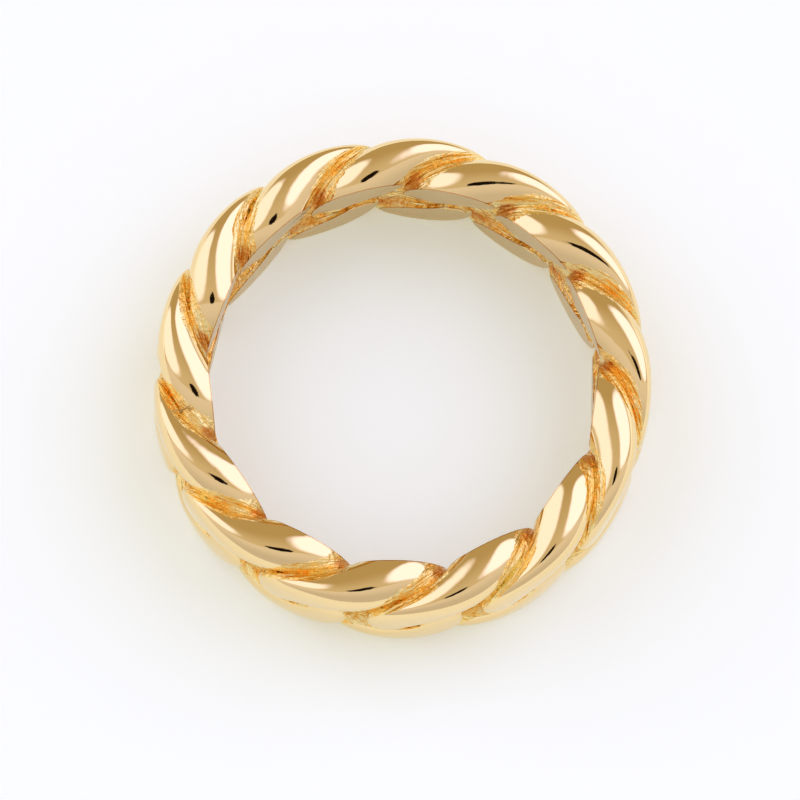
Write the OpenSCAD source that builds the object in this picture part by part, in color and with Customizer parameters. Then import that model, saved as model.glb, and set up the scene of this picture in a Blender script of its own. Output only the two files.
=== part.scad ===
// A finger ring made as a curb chain of thirteen twisted oval links, cast in one piece.
// It lies on its side: the finger hole runs along Z and the lowest point is at Z = 0.

/* [Ring] */
// Diameter of the largest circle inside the flat inner facets, the finger size
inner_d = 17.7; // [17.2:0.1:18.4]
// Number of links round the ring
links = 13; // [12:1:13]
// From the inner facets to the circle that the links are bent round
mean_depth = 1.15; // [1.1:0.05:1.25]
// Radius beyond the mean circle at which the outside starts to be pressed flat
outer_rise = 1.28; // [1.1:0.02:1.4]
// Part of the height past the outer radius that is left after flattening
outer_keep = 0.12; // [0.1:0.02:0.4]

/* [Link] */
// Half the length of a link's centre line along the ring
link_reach = 3.56; // [3.4:0.02:3.7]
// Half the distance between the two arms of a link, across the band
link_spread = 1.88; // [1.8:0.01:2]
// Rise of an arm towards the outside, per millimetre along the ring
arm_slope = 0.64; // [0.56:0.01:0.76]
// How far an arm could rise if it went on for ever
arm_rise = 2.7; // [2.5:0.1:3.2]
// Where an arm crosses the mean circle, from the middle of its link
arm_crossing = -0.44; // [-0.7:0.02:0]
// How much lower an arm lies at its outer end than in its middle, as a part of its height
arm_droop = 0.07; // [0:0.01:0.12]
// Height of a link's two ends above the mean circle
tip_rise = 0.7; // [0.65:0.05:0.75]
// Angle of each inner facet from the middle of its link
facet_turn = 10.6; // [9:0.1:12]

/* [Wire] */
// Width of the wire across an arm
wire_across = 2.52; // [2.48:0.02:2.6]
// Height of the wire out of the side of the ring
wire_high = 1.84; // [1.78:0.02:1.92]
// Turn of the wire's section at the ends of a link
wire_roll = 30; // [20:1:45]

/* [Webs] */
// Length of the solid web between two link ends, along the ring
web_long = 2.7; // [2.6:0.1:3]
// Width of the web along the finger hole, at its inner side
web_wide_in = 3; // [2.9:0.1:3.2]
// Width of the web along the finger hole, at its outer side
web_wide_out = 4; // [3.8:0.1:4.4]
// Depth of the rough floor below the inner facets
inner_floor = 0.4; // [0.3:0.05:0.6]
// Radius beyond the mean circle that a web reaches
web_rise = 0.6; // [0.5:0.05:0.7]

/* [Surface] */
// Sections along each link
link_steps = 24; // [20:4:24]
// Points round each section of the wire
wire_steps = 12; // [10:2:12]

/* [Hidden] */

mean_r = inner_d / 2 + mean_depth;
outer_r = mean_r + outer_rise;
outer_blend = 1.2;
step_angle = 360 / links;
half_width = link_spread + wire_high / 2;
// Exponents of the rounded oval that a link follows, and of the way its arms leave its
// ends upwards and downwards
along_power = 0.95;
spread_power = 0.91;
high_power = 0.37;
low_power = 0.71;
tangent_step = 0.5;
cut_depth = 4;
cut_overlap = 0.01;
web_skin = 0.1;
web_in = inner_d / 2 + inner_floor + web_skin / 2;
web_out = mean_r + web_rise;

// Hyperbolic tangent, which lets an arm rise steeply in the middle and level off
function tanh(x) = (exp(x) - exp(-x)) / (exp(x) + exp(-x));

// Sine or cosine raised to a power with its sign kept, for a rounded oval
function bent(x, power) = sign(x) * pow(abs(x), power);

// Centre line of a link at an angle round its oval: along the ring, across it, outwards
function centre(angle) =
    let (along = link_reach * bent(cos(angle), along_power),
         side = sign(sin(angle)),
         rise = arm_rise * tanh(arm_slope * (side * along - arm_crossing) / arm_rise) - tip_rise,
         power = rise > 0 ? high_power : low_power)
    [along,
     link_spread * bent(sin(angle), spread_power) * (1 - arm_droop * side * along / link_reach),
     tip_rise + rise * pow(abs(sin(angle)), power)];

// Heights past the outer radius are pressed flat, with a smooth start
function flattened(r) =
    let (over = r - outer_r)
    over > outer_blend ? outer_r + outer_keep * over
    : over < -outer_blend ? r
    : r - (1 - outer_keep) * pow(over + outer_blend, 2) / (4 * outer_blend);

// A point of the straight link, bent round the ring's axis
function bent_round(p) =
    let (r = flattened(mean_r + p[2]), turn = -p[0] / mean_r * 180 / PI)
    [r * cos(turn), r * sin(turn), p[1]];

// One ring of points round the wire
function wire_ring(angle) =
    let (middle = centre(angle),
         ahead = centre(angle + tangent_step) - centre(angle - tangent_step),
         forward = ahead / norm(ahead),
         roll = wire_roll * middle[0] / link_reach,
         upright = [0, -sin(roll), cos(roll)],
         beside = cross(forward, upright),
         outward = beside / norm(beside),
         across = cross(outward, forward))
    [for (j = [0 : wire_steps - 1])
        let (q = 360 * j / wire_steps)
        bent_round(middle
            + outward * wire_high / 2 * cos(q)
            + across * wire_across / 2 * sin(q))];

// A closed loop of wire, before its inside is ground flat
module link() {
    points = [for (i = [0 : link_steps - 1]) each wire_ring(360 * i / link_steps)];
    faces = [for (i = [0 : link_steps - 1], j = [0 : wire_steps - 1])
        let (i2 = (i + 1) % link_steps, j2 = (j + 1) % wire_steps)
        [i * wire_steps + j, i2 * wire_steps + j, i2 * wire_steps + j2, i * wire_steps + j2]];
    polyhedron(points, faces, convexity = 6);
}

// Solid metal that closes the gap between two link ends, in the middle of the band
module web() {
    hull()
        for (end = [[web_in, web_wide_in], [web_out, web_wide_out]])
            translate([end[0], 0, 0])
                cube([web_skin, web_long, end[1]], center = true);
}

// Flat inner facets of one side of the band, as a many-sided hole
module facet_hole(turn) {
    rotate(turn + step_angle / 2)
        translate([0, 0, -cut_overlap])
            linear_extrude(cut_depth)
                circle(inner_d / 2 / cos(step_angle / 2), $fn = links);
}

module chain_band() {
    color("gold")
        translate([0, 0, half_width])
            difference() {
                union() {
                    for (k = [0 : links - 1]) rotate(k * step_angle) link();
                    for (k = [0 : 2 * links - 1]) rotate(k * step_angle / 2) web();
                }
                facet_hole(facet_turn);
                mirror([0, 0, 1]) facet_hole(-facet_turn);
            }
}

chain_band();
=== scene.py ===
# A polished finger ring made as a curb chain of thirteen twisted links, cast in one piece.
# Sizes are in millimetres and angles in degrees, and the ring's match the ones that the part is
# made from. Blender works in metres, so sizes are multiplied by MM where they go into it.
import math

import bpy
import numpy as np
from mathutils import Matrix, Vector, noise
from mathutils.bvhtree import BVHTree


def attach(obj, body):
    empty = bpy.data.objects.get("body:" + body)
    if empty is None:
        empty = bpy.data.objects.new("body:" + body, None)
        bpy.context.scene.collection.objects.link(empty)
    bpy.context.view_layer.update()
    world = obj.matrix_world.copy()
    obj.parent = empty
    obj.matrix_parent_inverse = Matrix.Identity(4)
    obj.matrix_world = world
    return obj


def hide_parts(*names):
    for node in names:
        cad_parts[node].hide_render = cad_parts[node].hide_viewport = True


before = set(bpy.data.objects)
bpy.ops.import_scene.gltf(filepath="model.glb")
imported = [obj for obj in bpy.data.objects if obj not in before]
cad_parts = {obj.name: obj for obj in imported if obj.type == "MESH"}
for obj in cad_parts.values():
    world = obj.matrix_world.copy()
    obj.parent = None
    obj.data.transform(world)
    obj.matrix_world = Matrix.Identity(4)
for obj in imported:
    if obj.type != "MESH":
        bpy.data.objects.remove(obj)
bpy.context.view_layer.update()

MM = 0.001

# The ring
LINKS = 13
STEP = 2 * math.pi / LINKS
INNER_R = 8.85
MEAN_R = 10.0
OUTER_R = 11.28
OUTER_KEEP = 0.12
OUTER_BLEND = 1.2

# A link's centre line
LINK_REACH = 3.56
LINK_SPREAD = 1.88
ARM_SLOPE = 0.64
ARM_RISE = 2.7
ARM_CROSSING = -0.44
ARM_DROOP = 0.07
TIP_RISE = 0.7

# Exponents of the rounded oval that a link follows, and of the way its arms leave its ends
ALONG_POWER = 0.95
SPREAD_POWER = 0.91
HIGH_POWER = 0.37
LOW_POWER = 0.71

# The wire's section, and half the width of the band
WIRE_ACROSS = 2.52
WIRE_HIGH = 1.84
WIRE_ROLL = 30
HALF_WIDTH = LINK_SPREAD + WIRE_HIGH / 2

# How finely a link is made
LINK_STEPS = 148
WIRE_STEPS = 40
TANGENT_STEP = 0.001

# The two prisms that grind the inner facets
FACET_TURN = 10.6
PRISM_REACH = 4
PRISM_OVERLAP = 0.005
# How far a face may lean and lie off its facet, and still be a ground one
FACET_LEAN = 0.001
FACET_TOLERANCE = 0.002
# Edges that turn by more than this are sharp
SHARP_ANGLE = 28

# The cast metal that fills the middle of the band, its lumps per millimetre and their height
FILL_IN = 9.25
FILL_OUT = 10.75
FILL_HIGH_IN = 1.3
FILL_HIGH_OUT = 2.35
FILL_POWER = 0.6
FILL_ROUND = 520
FILL_ACROSS = 40
LARGE_LUMPS = 3.1
SMALL_LUMPS = 7.3
SMALL_SHARE = 0.6
LUMP_HIGH = 0.05

# The polishing ball that finds the hollows. Outside the open radius a wheel reaches deeper into
# them, by the slope for each millimetre.
BALL_R = 1.2
OPEN_R = 10.6
OPEN_SLOPE = 0.5

# Where the grooves lie for the streaks: the part of an arm's rise over which they are followed,
# and how far apart the streaks of one groove are from those of the next
FOLLOWED_RISE = 0.9
GROOVES_APART = 7


def bent(x, power):
    """Sine or cosine raised to a power with its sign kept."""
    return np.sign(x) * np.abs(x) ** power


def unit(v):
    return v / np.linalg.norm(v, axis=-1, keepdims=True)


def centre_line(angle):
    """Points of a straight link's centre line: along the ring, across it, outwards."""
    along = LINK_REACH * bent(np.cos(angle), ALONG_POWER)
    side = np.sign(np.sin(angle))
    rise = ARM_RISE * np.tanh(ARM_SLOPE * (side * along - ARM_CROSSING) / ARM_RISE)
    droop = 1 - ARM_DROOP * side * along / LINK_REACH
    across = LINK_SPREAD * bent(np.sin(angle), SPREAD_POWER) * droop
    arm = np.abs(np.sin(angle)) ** np.where(rise > TIP_RISE, HIGH_POWER, LOW_POWER)
    return np.stack([along, across, TIP_RISE + (rise - TIP_RISE) * arm], axis=-1)


def straight_link():
    """Rings of points round the wire of a link that isn't bent round the finger yet."""
    angle = 2 * math.pi * (np.arange(LINK_STEPS) + 0.5) / LINK_STEPS
    middle = centre_line(angle)
    forward = unit(centre_line(angle + TANGENT_STEP) - centre_line(angle - TANGENT_STEP))
    roll = math.radians(WIRE_ROLL) * middle[:, 0] / LINK_REACH
    upright = np.stack([0 * roll, -np.sin(roll), np.cos(roll)], axis=-1)
    outward = unit(np.cross(forward, upright))
    across = np.cross(outward, forward)
    q = 2 * math.pi * np.arange(WIRE_STEPS) / WIRE_STEPS
    high = WIRE_HIGH / 2 * np.cos(q)
    wide = WIRE_ACROSS / 2 * np.sin(q)
    return (middle[:, None] + outward[:, None] * high[None, :, None]
            + across[:, None] * wide[None, :, None])


def flattened(r):
    """Radii past the outer radius are pressed flat, with a smooth start."""
    over = r - OUTER_R
    soft = r - (1 - OUTER_KEEP) * (over + OUTER_BLEND) ** 2 / (4 * OUTER_BLEND)
    flat = OUTER_R + OUTER_KEEP * over
    return np.where(over > OUTER_BLEND, flat, np.where(over < -OUTER_BLEND, r, soft))


def bent_round(points, turn):
    """Straight points bent round the finger hole, and turned by an angle."""
    r = flattened(MEAN_R + points[..., 2])
    angle = turn - points[..., 0] / MEAN_R
    z = HALF_WIDTH + points[..., 1]
    return np.stack([r * np.cos(angle), r * np.sin(angle), z], axis=-1)


def cast_floor():
    """Points of a rough closed band of cast metal in the middle of the ring."""
    turn = 2 * math.pi * np.arange(FILL_ROUND) / FILL_ROUND
    q = 2 * math.pi * np.arange(FILL_ACROSS) / FILL_ACROSS
    turn, q = np.meshgrid(turn, q, indexing="ij")
    outwards = 0.5 + 0.5 * bent(np.cos(q), FILL_POWER)
    r = FILL_IN + (FILL_OUT - FILL_IN) * outwards
    z = (FILL_HIGH_IN + (FILL_HIGH_OUT - FILL_HIGH_IN) * outwards) * bent(np.sin(q), FILL_POWER)
    points = np.stack([r * np.cos(turn), r * np.sin(turn), HALF_WIDTH + z], axis=-1).reshape(-1, 3)
    lumps = []
    for p in points:
        small = noise.noise(Vector(p) * SMALL_LUMPS)
        lumps.append(noise.noise(Vector(p) * LARGE_LUMPS) + SMALL_SHARE * small)
    out = np.stack([np.cos(q) * np.cos(turn), np.cos(q) * np.sin(turn), np.sin(q)], axis=-1)
    return points + LUMP_HIGH * out.reshape(-1, 3) * np.array(lumps)[:, None]


def new_object(name, verts, faces):
    mesh = bpy.data.meshes.new(name)
    mesh.from_pydata([tuple(v) for v in np.asarray(verts) * MM], [], faces)
    mesh.update()
    obj = bpy.data.objects.new(name, mesh)
    bpy.context.scene.collection.objects.link(obj)
    return obj


def tube(name, points, rows, cols):
    """A tube of points that closes on itself both ways."""
    faces = []
    for i in range(rows):
        for j in range(cols):
            i2 = (i + 1) % rows
            j2 = (j + 1) % cols
            faces.append((i * cols + j, i * cols + j2, i2 * cols + j2, i2 * cols + j))
    return new_object(name, points, faces)


def facet_prism(name, turn, low, high):
    """A many-sided prism that grinds the inner facets of one side of the band."""
    radius = INNER_R / math.cos(STEP / 2)
    verts = []
    for z in (low, high):
        for i in range(LINKS):
            angle = math.radians(turn) + (i + 0.5) * STEP
            verts.append((radius * math.cos(angle), radius * math.sin(angle), z))
    faces = [tuple(range(LINKS - 1, -1, -1)), tuple(range(LINKS, 2 * LINKS))]
    for i in range(LINKS):
        j = (i + 1) % LINKS
        faces.append((i, j, LINKS + j, LINKS + i))
    return new_object(name, verts, faces)


def joined_and_ground(bodies, prisms):
    """The first body, joined with the others and cut by the prisms. Only it is left."""
    first = bodies[0]
    others = bpy.data.collections.new("others")
    for body in bodies[1:]:
        others.objects.link(body)
    joined = first.modifiers.new("joined", "BOOLEAN")
    joined.operation = "UNION"
    joined.operand_type = "COLLECTION"
    joined.collection = others
    joined.solver = "MANIFOLD"
    for prism in prisms:
        cut = first.modifiers.new("cut", "BOOLEAN")
        cut.operation = "DIFFERENCE"
        cut.object = prism
        cut.solver = "MANIFOLD"
    depsgraph = bpy.context.evaluated_depsgraph_get()
    mesh = bpy.data.meshes.new_from_object(first.evaluated_get(depsgraph))
    first.modifiers.clear()
    first.data = mesh
    for obj in bodies[1:] + prisms:
        bpy.data.objects.remove(obj)
    bpy.data.collections.remove(others)
    return first


def whole_band():
    """The links and the cast floor in one body, ground flat on the inside."""
    straight = straight_link()
    bodies = []
    for k in range(LINKS):
        points = bent_round(straight, k * STEP).reshape(-1, 3)
        bodies.append(tube(f"link_{k}", points, LINK_STEPS, WIRE_STEPS))
    bodies.append(tube("cast_floor", cast_floor(), FILL_ROUND, FILL_ACROSS))
    low = HALF_WIDTH - PRISM_OVERLAP
    high = HALF_WIDTH + PRISM_OVERLAP
    prisms = [facet_prism("near_prism", FACET_TURN, low, HALF_WIDTH + PRISM_REACH),
              facet_prism("far_prism", -FACET_TURN, HALF_WIDTH - PRISM_REACH, high)]
    band = joined_and_ground(bodies, prisms)
    band.name = "chain_ring"
    band.data.name = "chain_ring"
    return band


def use_materials(mesh, polished, ground):
    """The flat inner facets are ground, and all the rest is polished or as cast."""
    mesh.materials.clear()
    mesh.materials.append(polished)
    mesh.materials.append(ground)
    for face in mesh.polygons:
        inward = -face.normal.x * face.center.x - face.normal.y * face.center.y
        depth = inward / MM - INNER_R
        is_facet = abs(face.normal.z) < FACET_LEAN and abs(depth) < FACET_TOLERANCE
        face.material_index = 1 if is_facet else 0


def recesses(mesh):
    """How far a polishing ball stays off each point of the surface."""
    faces = [tuple(p.vertices) for p in mesh.polygons]
    tree = BVHTree.FromPolygons([v.co for v in mesh.vertices], faces)
    found = []
    for v in mesh.vertices:
        distance = tree.find_nearest(v.co + v.normal * BALL_R * MM)[3]
        outside = math.hypot(v.co.x, v.co.y) / MM - OPEN_R
        found.append(BALL_R - distance / MM - OPEN_SLOPE * max(0, outside))
    return np.array(found)


def flows(places):
    """Each point's place across the groove next to it, outwards and along the finger hole.

    The cast metal's streaks run along the groove in these coordinates.
    """
    pitch = MEAN_R * STEP
    radius = np.hypot(places[:, 0], places[:, 1])
    height = places[:, 2] - HALF_WIDTH
    angle = np.arctan2(places[:, 1], places[:, 0]) * np.where(height > 0, 1, -1)
    rise = np.clip((radius - MEAN_R) / ARM_RISE, -FOLLOWED_RISE, FOLLOWED_RISE)
    arm_at = np.arctanh(rise) * ARM_RISE / ARM_SLOPE + ARM_CROSSING
    groove = (-MEAN_R * angle - arm_at) / pitch
    number = np.floor(groove)
    across = (groove - number - 0.5) * pitch
    return np.stack([across, radius, height + GROOVES_APART * number], axis=-1)


def above_facets(places):
    """How far each point lies outside the planes of the ground facets of its side."""
    above = np.full(len(places), -1.0)
    turn = np.radians(np.where(places[:, 2] > HALF_WIDTH, FACET_TURN, -FACET_TURN))
    for k in range(LINKS):
        plane = turn + k * STEP
        reach = places[:, 0] * np.cos(plane) + places[:, 1] * np.sin(plane)
        above = np.maximum(above, reach - INNER_R)
    return above


def keep_for_each_point(mesh, name, values):
    """Keep a number or a vector for each point, for the materials to read."""
    if values.ndim == 1:
        mesh.attributes.new(name, "FLOAT", "POINT").data.foreach_set("value", values)
    else:
        mesh.attributes.new(name, "FLOAT_VECTOR", "POINT").data.foreach_set("vector", values.ravel())


def chain_ring():
    """The finished band, with its materials and all that they read at each point."""
    band = whole_band()
    mesh = band.data
    use_materials(mesh, polished_gold(), ground_gold())
    mesh.polygons.foreach_set("use_smooth", [True] * len(mesh.polygons))
    mesh.set_sharp_from_angle(angle=math.radians(SHARP_ANGLE))
    places = np.empty(3 * len(mesh.vertices))
    mesh.vertices.foreach_get("co", places)
    places = places.reshape(-1, 3) / MM
    keep_for_each_point(mesh, "recess", recesses(mesh))
    keep_for_each_point(mesh, "flow", flows(places))
    keep_for_each_point(mesh, "above_facets", above_facets(places))
    return band


class Nodes:
    """Short calls that add nodes to a material or a world."""

    def __init__(self, owner):
        owner.use_nodes = True
        self.tree = owner.node_tree
        self.tree.nodes.clear()

    def put(self, socket, value):
        """Join a socket to another one, or set it to a constant."""
        if isinstance(value, bpy.types.NodeSocket):
            self.tree.links.new(value, socket)
        else:
            socket.default_value = value

    def add(self, kind, inputs=(), **settings):
        node = self.tree.nodes.new("ShaderNode" + kind)
        for key, value in settings.items():
            setattr(node, key, value)
        for name, value in dict(inputs).items():
            self.put(node.inputs[name], value)
        return node

    def math(self, operation, a, b=0.0):
        return self.add("Math", {0: a, 1: b}, operation=operation).outputs[0]

    def total(self, a, b, share):
        """Number a and a share of number b."""
        return self.math("ADD", a, self.math("MULTIPLY", b, share))

    def off(self, a, b):
        """How far number a is from number b."""
        return self.math("ABSOLUTE", self.math("SUBTRACT", a, b))

    def blend(self, amount, low, high):
        """Number low where amount is 0 and high where it is 1."""
        return self.math("ADD", low, self.math("MULTIPLY", amount, self.math("SUBTRACT", high, low)))

    def mix(self, amount, low, high):
        """Colour low where amount is 0 and high where it is 1."""
        node = self.add("Mix", data_type="RGBA")
        self.put(node.inputs[0], amount)
        self.put(node.inputs[6], low)
        self.put(node.inputs[7], high)
        return node.outputs[2]

    def map(self, value, low, high, to_low=0.0, to_high=1.0):
        """A number that goes smoothly from to_low to to_high while value goes from low to high."""
        inputs = {"Value": value, "From Min": low, "From Max": high, "To Min": to_low, "To Max": to_high}
        return self.add("MapRange", inputs, interpolation_type="SMOOTHSTEP").outputs[0]

    def noise(self, place, scale, detail, roughness=0.5):
        inputs = {"Vector": place, "Scale": scale, "Detail": detail, "Roughness": roughness}
        return self.add("TexNoise", inputs).outputs["Fac"]

    def place(self):
        """Each point's place on its object, in millimetres."""
        inputs = {0: self.add("TexCoord").outputs["Object"], "Scale": 1 / MM}
        return self.add("VectorMath", inputs, operation="SCALE").outputs["Vector"]


# Polished metal, with faint long waves and fainter short ones
POLISHED = (0.93, 0.71, 0.355, 1)
POLISHED_ROUGH = 0.05
POLISHED_RELIEF = {"Strength": 0.10, "Distance": 0.4 * MM}
LONG_WAVES = 0.45
SHORT_WAVES = 1.7
SHORT_WAVES_SHARE = 0.1

# Ground metal, with clouds of two tones and fine scratches
GROUND_DARK = (0.61, 0.44, 0.20, 1)
GROUND_LIGHT = (0.71, 0.51, 0.23, 1)
GROUND_ROUGH = 0.25
GROUND_RELIEF = {"Strength": 0.15, "Distance": 0.01 * MM}
CLOUDS = 0.9
SCRATCHES = 16

# Metal as cast, with patches of two tones partly painted as bounced light, painted shade in thin creases
# and darker painted shade in the deepest hollows
# Its two tones are partly the metal's own and partly a painted orange glow of light bounced round the
# hollows
CAST_DARK = (1.0, 0.59, 0.12, 1)
CAST_LIGHT = (1.0, 0.82, 0.36, 1)
CAST_ROUGH = (0.08, 0.22)
CAST_STRENGTH = 0.9
CAST_DISTANCE = 0.13 * MM
# Painted shade drawn along thin creases of the streaks: its colour, amount and width
CREASE_SHADE = (0.70, 0.30, 0.06, 1)
CREASE_SHADE_AMOUNT = 0.3
CREASE_SHADE_WIDE = 0.03
# Painted shade where the hollows are deepest, at their inner ends: its colour and amount
PIT_SHADE = (0.75, 0.28, 0.05, 1)
PIT_SHADE_AMOUNT = 0.7

# Its lumps, patches, grains and cells per millimetre
COARSE = 2.5
FINE = 9
PATCHES = 1.5
GRAINS = 5.2
CELLS = 4.2
# Its streaks per millimetre across the groove, outwards and along the finger hole
STREAKS = (2.5, 0.9, 0.9)
BROAD_STREAKS = 0.6
# How much of its relief each one makes, and how much of the tone comes from the grain
GRAINS_HIGH = 0.5
CELLS_HIGH = 0.35
STREAKS_HIGH = 2.2
GRAIN_TONE = 0.3
# The middle of a noise's values, the range of most of them and the range of those near the middle
NOISE_MIDDLE = 0.5
WIDE_RANGE = (0.35, 0.65)
NARROW_RANGE = (0.4, 0.6)

# Depth in a hollow over which metal turns from polished to as cast. The depth is first multiplied
# by the sum of the second number and an unevenness that is 0 on average.
HOLLOW_DEPTH = (0.06, 0.08)
HOLLOW_TIMES = 1.2
# Distance from the middle of the band over which facets turn to metal as cast, and how ragged
FACET_RIM = (0.43, 0.37)
FACET_RAGGED = 0.3
# Height above the facets where the painted dark reflection of their rounded rim starts and is full, and
# how ragged
RIM_REFLECTION_HEIGHT = (0.065, 0.045)
RIM_REFLECTION_RAGGED = 0.03
# The colour of that painted dark reflection and its amount
RIM_REFLECTION = (0.62, 0.30, 0.08, 1)
RIM_REFLECTION_AMOUNT = 0.8
# Distance from the middle of the band over which streaks take the place of plain lumps
STREAKS_START = (0.7, 1.3)
# Depth in a hollow, radius, and distance from the middle of the band over which the painted shade of the
# deepest hollows starts
PIT_SHADE_DEPTH = (0.5, 0.75)
PIT_SHADE_RADIUS = (9.75, 9.45)
PIT_SHADE_START = (0.8, 1.4)


class Gold(Nodes):
    """A gold material, smooth on what a wheel reaches and grainy as cast elsewhere."""

    def __init__(self, material):
        super().__init__(material)
        self.at = self.place()
        self.recess = self.add("Attribute", attribute_name="recess").outputs["Fac"]
        z = self.add("SeparateXYZ", {"Vector": self.at}).outputs["Z"]
        self.off_middle = self.off(z, HALF_WIDTH)
        self.coarse = self.noise(self.at, COARSE, detail=2)
        fine = self.noise(self.at, FINE, detail=3)
        self.uneven = self.math("SUBTRACT", self.math("ADD", self.coarse, fine), 2 * NOISE_MIDDLE)

    def streaks(self, flow):
        """Streaks along the grooves, and their broad tone, with plain lumps in the middle."""
        inputs = {0: flow, 1: STREAKS}
        across = self.add("VectorMath", inputs, operation="MULTIPLY").outputs["Vector"]
        start = self.map(self.off_middle, *STREAKS_START)
        lumps = self.noise(self.at, COARSE, detail=2)
        streaks = self.noise(across, 1.0, detail=2, roughness=0.45)
        patches = self.noise(self.at, PATCHES, detail=2, roughness=0.55)
        broad = self.noise(across, BROAD_STREAKS, detail=2, roughness=0.55)
        return self.blend(start, lumps, streaks), self.blend(start, patches, broad)

    def pit_shade(self, radius):
        """How much painted shade the hollows get where they are deepest, at their inner ends."""
        inner_end = self.math("MULTIPLY", self.map(radius, *PIT_SHADE_RADIUS),
                              self.map(self.off_middle, *PIT_SHADE_START))
        return self.math("MULTIPLY", self.map(self.recess, *PIT_SHADE_DEPTH), inner_end)

    def cast(self):
        """Colour, relief and roughness of the metal as cast."""
        flow = self.add("Attribute", attribute_name="flow").outputs["Vector"]
        radius = self.add("SeparateXYZ", {"Vector": flow}).outputs["Y"]
        streaks, tone = self.streaks(flow)
        grain = self.noise(self.at, GRAINS, detail=4, roughness=0.65)
        cells = self.add("TexVoronoi", {"Vector": self.at, "Scale": CELLS}, feature="F1")
        light = self.map(self.blend(GRAIN_TONE, tone, grain), *NARROW_RANGE)
        # Painted shade in thin creases along the streaks
        crease_shade = self.map(self.off(streaks, NOISE_MIDDLE), 0.0, CREASE_SHADE_WIDE, CREASE_SHADE_AMOUNT, 0.0)
        # Tones that are partly the metal's own and partly a painted glow of light bounced round the
        # hollows
        colour = self.mix(light, CAST_DARK, CAST_LIGHT)
        colour = self.mix(crease_shade, colour, CREASE_SHADE)
        # Painted shade where the hollows are deepest
        colour = self.mix(self.math("MULTIPLY", self.pit_shade(radius), PIT_SHADE_AMOUNT), colour, PIT_SHADE)
        relief = self.math("MULTIPLY", grain, GRAINS_HIGH)
        relief = self.total(relief, cells.outputs["Distance"], CELLS_HIGH)
        relief = self.total(relief, streaks, STREAKS_HIGH)
        return colour, relief, self.map(grain, *WIDE_RANGE, *CAST_ROUGH)

    def finish(self, is_cast, colour, roughness, smooth, rim_reflection=0.0):
        """Metal as cast where is_cast is 1, and the smooth metal that is given elsewhere."""
        cast_colour, relief, cast_roughness = self.cast()
        colour = self.mix(is_cast, colour, cast_colour)
        # The painted dark reflection in a thin band round the ground facets
        colour = self.mix(rim_reflection, colour, RIM_REFLECTION)
        strength = self.math("MULTIPLY", is_cast, CAST_STRENGTH)
        grainy = self.add("Bump", {"Strength": strength, "Distance": CAST_DISTANCE,
                                   "Height": relief, "Normal": smooth.outputs[0]})
        roughness = self.blend(is_cast, roughness, cast_roughness)
        shader = self.add("BsdfPrincipled", {"Base Color": colour, "Metallic": 1.0,
                                             "Roughness": roughness, "Normal": grainy.outputs[0]})
        self.add("OutputMaterial", {"Surface": shader.outputs[0]})


def polished_gold():
    """Gold that is polished where a wheel reaches, with a painted dark reflection of a rounded rim round
    the ground facets.
    """
    material = bpy.data.materials.new("gold_polished")
    n = Gold(material)
    depth = n.math("MULTIPLY", n.recess, n.math("ADD", n.uneven, HOLLOW_TIMES))
    is_cast = n.map(depth, *HOLLOW_DEPTH)
    above = n.add("Attribute", attribute_name="above_facets").outputs["Fac"]
    # Painted dark reflection of a rounded rim, in a thin ragged band just above the ground facets
    rim_reflection = n.map(n.total(above, n.coarse, RIM_REFLECTION_RAGGED), *RIM_REFLECTION_HEIGHT, 0.0, RIM_REFLECTION_AMOUNT)
    short_waves = n.noise(n.at, SHORT_WAVES, detail=1)
    waves = n.total(n.noise(n.at, LONG_WAVES, detail=1), short_waves, SHORT_WAVES_SHARE)
    smooth = n.add("Bump", {"Height": waves, **POLISHED_RELIEF})
    n.finish(is_cast, POLISHED, POLISHED_ROUGH, smooth, rim_reflection)
    return material


def ground_gold():
    """Gold that is ground flat and left satin, with a ragged rim in the middle of the band."""
    material = bpy.data.materials.new("gold_ground")
    n = Gold(material)
    is_cast = n.map(n.total(n.off_middle, n.uneven, -FACET_RAGGED), *FACET_RIM)
    colour = n.mix(n.noise(n.at, CLOUDS, detail=2), GROUND_DARK, GROUND_LIGHT)
    smooth = n.add("Bump", {"Height": n.noise(n.at, SCRATCHES, detail=2), **GROUND_RELIEF})
    n.finish(is_cast, colour, GROUND_ROUGH, smooth)
    return material


# The floor reaches this far to each side. Its clouds are per millimetre.
FLOOR_REACH = 3000
FLOOR_DARK = (0.93, 0.96, 0.93, 1)
FLOOR_LIGHT = (0.94, 0.97, 0.94, 1)
FLOOR_CLOUDS = 0.06
FLOOR_ROUGH = 0.9
FLOOR_GLOW = (0.85, 1.0, 0.80, 1)
FLOOR_GLOW_STRENGTH = 0.22


def light_table():
    """A pale floor with the faint glow of a light table."""
    material = bpy.data.materials.new("pale_floor")
    n = Nodes(material)
    colour = n.mix(n.noise(n.place(), FLOOR_CLOUDS, detail=2), FLOOR_DARK, FLOOR_LIGHT)
    shader = n.add("BsdfPrincipled", {"Base Color": colour, "Roughness": FLOOR_ROUGH,
                                      "Emission Color": FLOOR_GLOW,
                                      "Emission Strength": FLOOR_GLOW_STRENGTH})
    n.add("OutputMaterial", {"Surface": shader.outputs[0]})
    corners = [(-FLOOR_REACH, -FLOOR_REACH, 0), (FLOOR_REACH, -FLOOR_REACH, 0),
               (FLOOR_REACH, FLOOR_REACH, 0), (-FLOOR_REACH, FLOOR_REACH, 0)]
    floor = new_object("floor", corners, [(0, 1, 2, 3)])
    floor.data.materials.append(material)
    return floor


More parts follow.
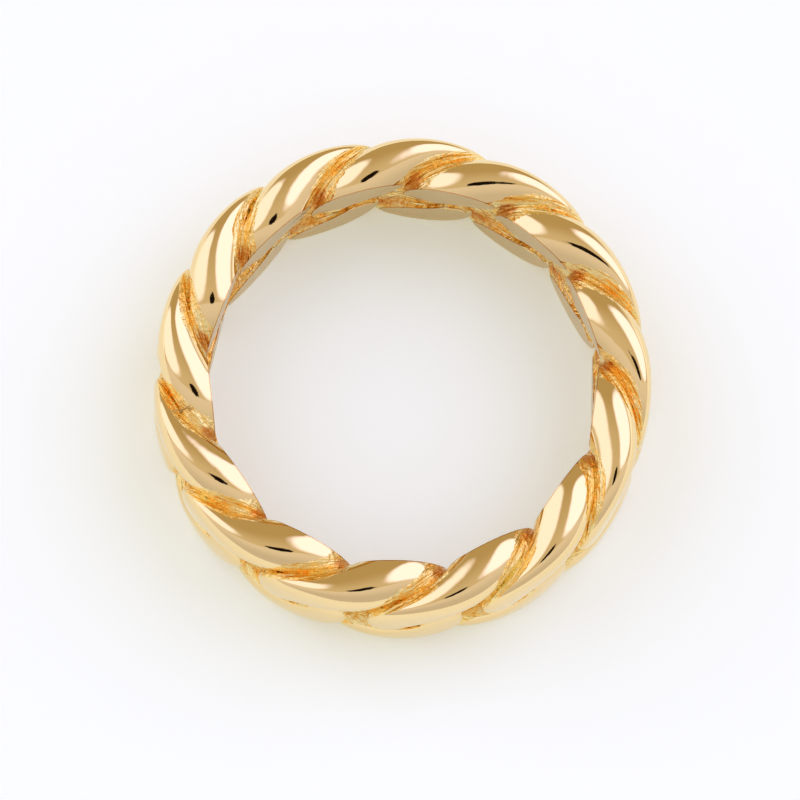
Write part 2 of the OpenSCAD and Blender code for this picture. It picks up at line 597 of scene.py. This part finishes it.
# The camera looks at the middle of the ring from the photo's angle
CAMERA_TURN = -10.02
CAMERA_LEAN = -1.75
CAMERA_TILT = 15.14
CAMERA_DISTANCE = 535.6
FOCAL_LENGTH = 523.6
SENSOR_WIDTH = 36
SHIFT_X = -0.00215
SHIFT_Y = -0.01578
NEAREST = 10
FARTHEST = 20000
VIEW = (Matrix.Rotation(math.radians(CAMERA_TURN), 4, "Z")
        @ Matrix.Rotation(math.radians(CAMERA_LEAN), 4, "Y")
        @ Matrix.Rotation(math.radians(CAMERA_TILT), 4, "X"))


def photo_camera():
    """The camera that takes the photo's view."""
    data = bpy.data.cameras.new("camera")
    data.sensor_width = SENSOR_WIDTH
    data.lens = FOCAL_LENGTH
    data.shift_x = SHIFT_X
    data.shift_y = SHIFT_Y
    data.clip_start = NEAREST * MM
    data.clip_end = FARTHEST * MM
    camera = bpy.data.objects.new("camera", data)
    bpy.context.scene.collection.objects.link(camera)
    middle = Matrix.Translation((0, 0, HALF_WIDTH * MM))
    camera.matrix_world = middle @ VIEW @ Matrix.Translation((0, 0, CAMERA_DISTANCE * MM))
    return camera


# A soft studio round the ring. Its angles are from the camera's line of sight: sideways and
# upwards to the middle of a soft box, then half its width and height.
LEFT_BOX = (-52, 32, 35, 24)
RIGHT_BOX = (46, 33, 31, 26)
BOX_POWER = 2.6
BOX_SOFT = 0.15
LEFT_LIGHT = (1.22, 1.22, 1.60, 1)
RIGHT_LIGHT = (1.38, 1.36, 2.00, 1)
# A pale table lies below, and a dim wall stands between and above the boxes
TABLE_TOP = 5
TABLE_SOFT = 1
TABLE_BOTTOM = -40
TABLE_NEAR = (0.81, 0.75, 0.77, 1)
TABLE_FAR = (0.64, 0.60, 0.62, 1)
WALL_START = 10
WALL_TOP = 60
WALL_LOW = (0.68, 0.58, 0.46, 1)
WALL_HIGH = (0.50, 0.38, 0.21, 1)
# A bright sweep runs all round, off the line of sight, and fades upwards and downwards
SWEEP_START = 78
SWEEP_FULL = 92
SWEEP_FADE = (60, 30)
SWEEP = (1.20, 1.22, 1.45, 1)
# A dark gap is left above the table's edge: its middle, and half its width and height
GAP_SIDE = 3
GAP_UP = 9.5
GAP_WIDE = 8.4
GAP_HIGH = 5.4
GAP_SOFT = 0.1
GAP_RAGGED = 1.6
GAP_TEETH = 14
GAP_DARK = (0.01, 0.006, 0.004, 1)


class Studio(Nodes):
    """The studio's light, painted by angles from the camera's line of sight."""

    def __init__(self, world):
        super().__init__(world)
        self.direction = self.add("TexCoord").outputs["Generated"]
        right, up, towards = [self.along(axis) for axis in VIEW.col[:3]]
        self.sideways = self.degrees(self.math("ARCTAN2", right, towards))
        self.upwards = self.degrees(self.math("ARCSINE", up))
        self.off_axis = self.degrees(self.math("ARCCOSINE", towards))

    def along(self, axis):
        """How far each direction goes along an axis of the view."""
        inputs = {0: self.direction, 1: tuple(axis[:3])}
        return self.add("VectorMath", inputs, operation="DOT_PRODUCT").outputs["Value"]

    def degrees(self, angle):
        return self.math("MULTIPLY", angle, 180 / math.pi)

    def backdrop(self):
        """The table and the wall above it."""
        table = self.mix(self.map(self.upwards, TABLE_TOP, TABLE_BOTTOM), TABLE_NEAR, TABLE_FAR)
        wall = self.mix(self.map(self.upwards, WALL_START, WALL_TOP), WALL_LOW, WALL_HIGH)
        edge = self.map(self.upwards, TABLE_TOP - TABLE_SOFT, TABLE_TOP + TABLE_SOFT)
        return self.mix(edge, table, wall)

    def in_box(self, side, up, wide, high):
        """How far each direction is inside a soft box with rounded corners."""
        u = self.math("DIVIDE", self.off(self.sideways, side), wide)
        v = self.math("DIVIDE", self.off(self.upwards, up), high)
        both = self.math("ADD", self.math("POWER", u, BOX_POWER), self.math("POWER", v, BOX_POWER))
        return self.map(self.math("POWER", both, 1 / BOX_POWER), 1 + BOX_SOFT, 1 - BOX_SOFT)

    def in_sweep(self):
        """How far each direction is inside the bright sweep."""
        off_level = self.map(self.math("ABSOLUTE", self.upwards), *SWEEP_FADE)
        return self.math("MULTIPLY", self.map(self.off_axis, SWEEP_START, SWEEP_FULL), off_level)

    def in_gap(self):
        """How far each direction is inside the dark gap, an oval with a ragged edge."""
        u = self.math("DIVIDE", self.math("SUBTRACT", self.sideways, GAP_SIDE), GAP_WIDE)
        v = self.math("DIVIDE", self.math("SUBTRACT", self.upwards, GAP_UP), GAP_HIGH)
        off_gap = self.math("ADD", self.math("MULTIPLY", u, u), self.math("MULTIPLY", v, v))
        teeth = self.math("SUBTRACT", self.noise(self.direction, GAP_TEETH, detail=2), NOISE_MIDDLE)
        return self.map(self.total(off_gap, teeth, GAP_RAGGED), 1 + GAP_SOFT, 1 - GAP_SOFT)


def studio():
    """A world that lights the ring from the boxes, the sweep and the backdrop."""
    world = bpy.data.worlds.new("studio")
    n = Studio(world)
    seen = n.backdrop()
    seen = n.mix(n.in_box(*LEFT_BOX), seen, LEFT_LIGHT)
    seen = n.mix(n.in_box(*RIGHT_BOX), seen, RIGHT_LIGHT)
    seen = n.mix(n.in_sweep(), seen, SWEEP)
    seen = n.mix(n.in_gap(), seen, GAP_DARK)
    background = n.add("Background", {"Color": seen})
    n.add("OutputWorld", {"Surface": background.outputs[0]})
    return world


band = chain_ring()
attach(band, "root")
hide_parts("chain_band")

floor = light_table()

bpy.context.scene.camera = photo_camera()
bpy.context.scene.world = studio()
bpy.context.scene.view_settings.view_transform = "Standard"
